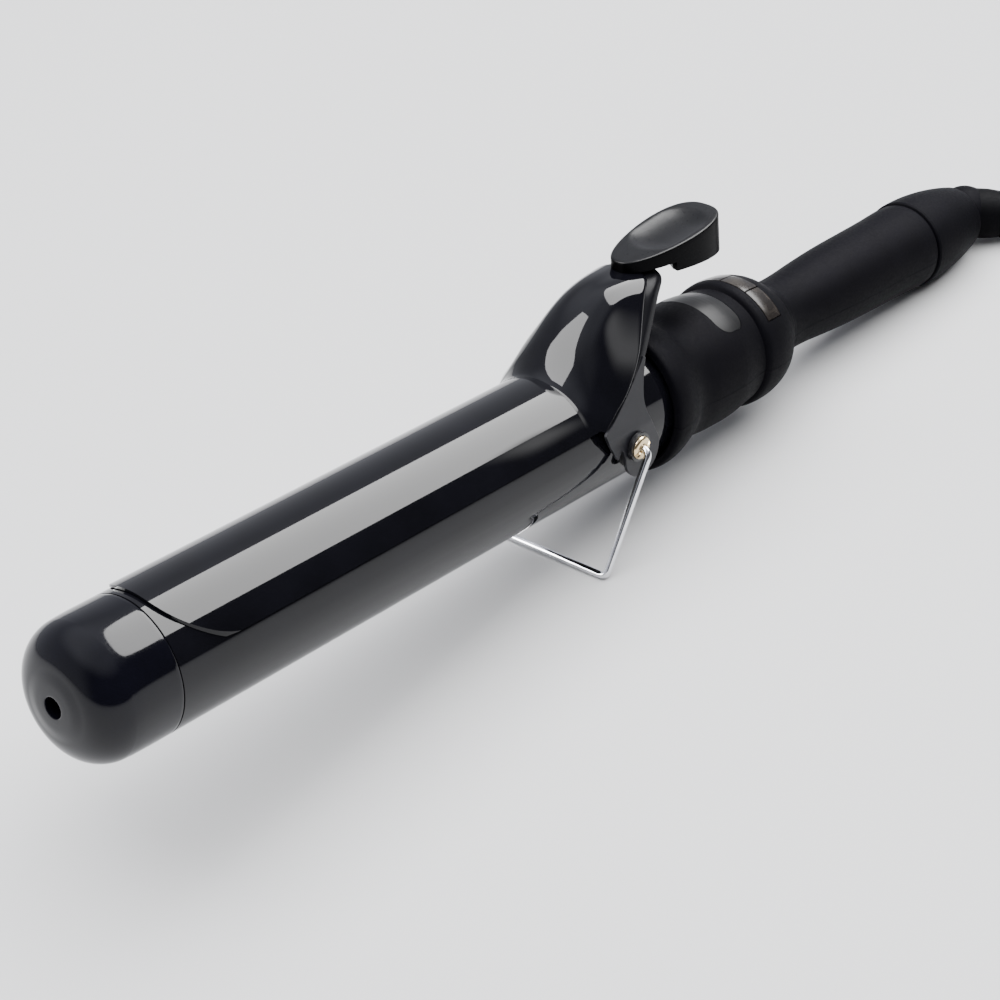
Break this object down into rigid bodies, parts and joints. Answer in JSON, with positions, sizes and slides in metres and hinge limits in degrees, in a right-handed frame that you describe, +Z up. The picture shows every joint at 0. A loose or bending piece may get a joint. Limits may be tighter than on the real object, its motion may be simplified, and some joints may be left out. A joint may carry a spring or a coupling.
{
  "type": "curling iron",
  "caption": "Hair curling iron with a spring clamp over a heated barrel, a wire stand, a display window, push buttons and a swivelling mains cord.",
  "frame": {"origin": "on the surface the iron stands on, below the middle of the iron without its cord", "axes": "+X from the barrel's tip towards the cord, +Y to the side away from the display's turn, +Z up"},
  "size_m": [0.6183, 0.09, 0.0771],
  "materials": {
    "gloss_black_coat": "high gloss black ceramic coat",
    "tip_black": "gloss black moulding",
    "ear_black": "satin black",
    "rest_black": "semi-gloss black moulding",
    "handle_black": "matte soft-touch black",
    "relief_black": "matte black",
    "saddle_black": "black heat-proof moulding",
    "screw_steel": "zinc plated",
    "wire_chrome": "bright chrome",
    "rivet_brass": "pale polished brass",
    "lens_smoked": "smoked, polished",
    "button_smoked": "smoked translucent, polished",
    "heater_metal": "bare extruded",
    "heater_ceramic": "insulating film over the heating ceramic",
    "lead_white": "glass-fibre sleeve",
    "sensor_red": "glazed bead",
    "mount_cream": "heat-proof moulding",
    "board_green": "solder mask",
    "panel_grey": "liquid-crystal glass with a carrier",
    "parts_dark": "moulded electronic parts",
    "spring_steel": "blued strip",
    "contact_brass": "stamped"
  },
  "bodies": {
    "housing": {"barrel_tube": "gloss_black_coat", "tip_cap": "tip_black", "tip_screw": "screw_steel", "heater_carriers": "heater_metal", "heater_element": "heater_ceramic", "heater_leads": "lead_white", "thermistor": "sensor_red", "thermal_fuse": "heater_metal", "barrel_mount": "mount_cream", "pivot_saddles": "saddle_black", "pivot_rivets": "rivet_brass", "pivot_bushes": "saddle_black", "clamp_spring": "spring_steel", "housing_upper": "handle_black", "housing_lower": "handle_black", "housing_screws": "screw_steel", "display_lens": "lens_smoked", "display_panel": "panel_grey", "control_board": "board_green", "power_board": "board_green", "board_parts": "parts_dark", "switch_carrier": "parts_dark", "button_switches": "parts_dark", "tail_cap": "handle_black", "swivel_contacts": "contact_brass"},
    "clamp": {"clamp_plate": "gloss_black_coat", "lever_shell": "gloss_black_coat", "lever_strap": "ear_black", "lever_ears": "ear_black", "thumb_rest": "rest_black", "rest_screws": "screw_steel"},
    "stand": {"stand_wire": "wire_chrome"},
    "button_minus": {"button_minus": "button_smoked"},
    "button_power": {"button_power": "button_smoked"},
    "button_plus": {"button_plus": "button_smoked"},
    "cord": {"swivel_ball": "handle_black", "strain_relief": "relief_black", "cord_tube": "relief_black", "cord_hank": "relief_black", "cord_tie": "relief_black", "plug_body": "relief_black", "plug_blades": "contact_brass"}
  },
  "joints": [
    {"name": "clamp_hinge", "type": "hinge", "parent": "housing", "child": "clamp", "pos_m": [-0.00925, 0, 0.03508], "axis": [0, 1, 0], "range_deg": [0, 15], "stiffness_Nm_per_rad": 0.3, "springref_deg": -20.05, "deforming": ["clamp_spring"]},
    {"name": "stand_hinge", "type": "hinge", "parent": "housing", "child": "stand", "pos_m": [-0.00925, 0, 0.03508], "axis": [0, -1, 0], "range_deg": [0, 70]},
    {"name": "button_minus_press", "type": "slide", "parent": "housing", "child": "button_minus", "axis": [-0.107, -0.4147, -0.9037], "range_m": [0, 0.0005], "stiffness_N_per_m": 3000, "springref_m": -0.0003},
    {"name": "button_power_press", "type": "slide", "parent": "housing", "child": "button_power", "axis": [-0.1169, 0.1045, -0.9876], "range_m": [0, 0.0005], "stiffness_N_per_m": 3000, "springref_m": -0.0003},
    {"name": "button_plus_press", "type": "slide", "parent": "housing", "child": "button_plus", "axis": [-0.0945, 0.5948, -0.7983], "range_m": [0, 0.0005], "stiffness_N_per_m": 3000, "springref_m": -0.0003},
    {"name": "cord_swivel", "type": "hinge", "parent": "housing", "child": "cord", "pos_m": [0.19334, 0, 0.0111], "axis": [0.9931, 0, -0.1176], "continuous": true}
  ]
}
